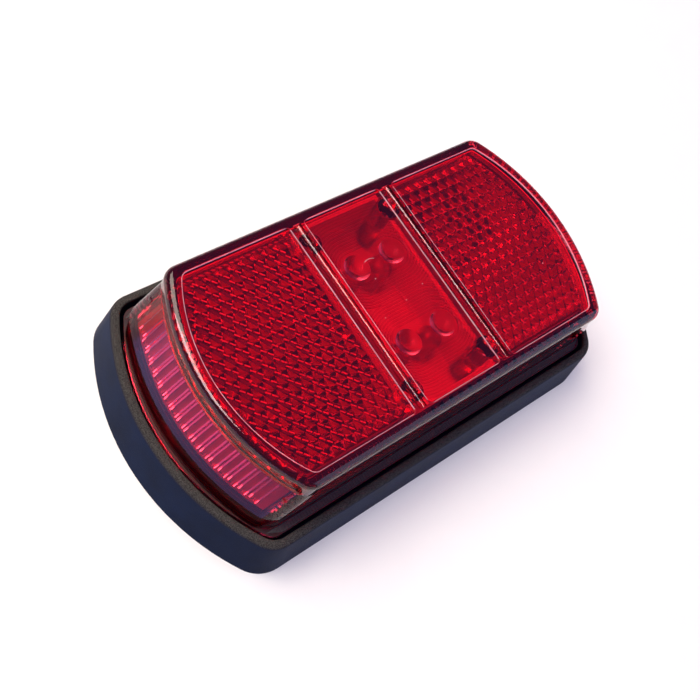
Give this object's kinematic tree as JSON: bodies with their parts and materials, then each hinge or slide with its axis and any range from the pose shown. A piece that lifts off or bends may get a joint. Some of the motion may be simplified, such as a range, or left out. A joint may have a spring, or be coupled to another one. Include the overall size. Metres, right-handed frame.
{
  "type": "bicycle rear light",
  "caption": "Oblong surface-mounted rear light: raised red lens with two reflex fields and a lit window, in a soft black surround, bolted from behind to a rack plate.",
  "frame": {"origin": "centre of the flat back face, where the light rests on what it is bolted to", "axes": "+X along the light, +Y across it, +Z out of the lens"},
  "size_m": [0.108, 0.0586, 0.0268],
  "materials": {
    "soft_surround": "matte with a faint blue sheen, grainy lip",
    "red_lens": "polished clear red",
    "red_reflex": "clear red with prisms on the back",
    "black_tray": "moulded black",
    "black_cover": "moulded black",
    "pale_box": "moulded white",
    "cap_plastic": "moulded black",
    "board_laminate": "green solder mask",
    "lamp_resin": "clear red resin",
    "tinned_wire": "tinned",
    "solder": "bright solder",
    "resistor_body": "beige lacquer",
    "can_metal": "bright drawn",
    "bung_rubber": "matte",
    "rectifier_resin": "moulded epoxy",
    "seal_rubber": "matte",
    "inlet_rubber": "matte",
    "plated_steel": "zinc plated"
  },
  "bodies": {
    "root": {"surround": "soft_surround", "lens": "red_lens", "reflex_left": "red_reflex", "reflex_right": "red_reflex", "tray": "black_tray", "reflex_cover_left": "black_cover", "reflex_cover_right": "black_cover", "light_box": "pale_box", "nut_caps": "cap_plastic", "board": "board_laminate", "lamps": "lamp_resin", "lamp_leads": "tinned_wire", "resistor_wires": "tinned_wire", "component_legs": "tinned_wire", "solder_tabs": "tinned_wire", "solder_joints": "solder", "resistors": "resistor_body", "capacitor_can": "can_metal", "capacitor_bung": "bung_rubber", "rectifier": "rectifier_resin", "lens_seal": "seal_rubber", "cable_inlet": "inlet_rubber", "mounting_nuts": "plated_steel", "lens_screws": "plated_steel"}
  },
  "joints": []
}
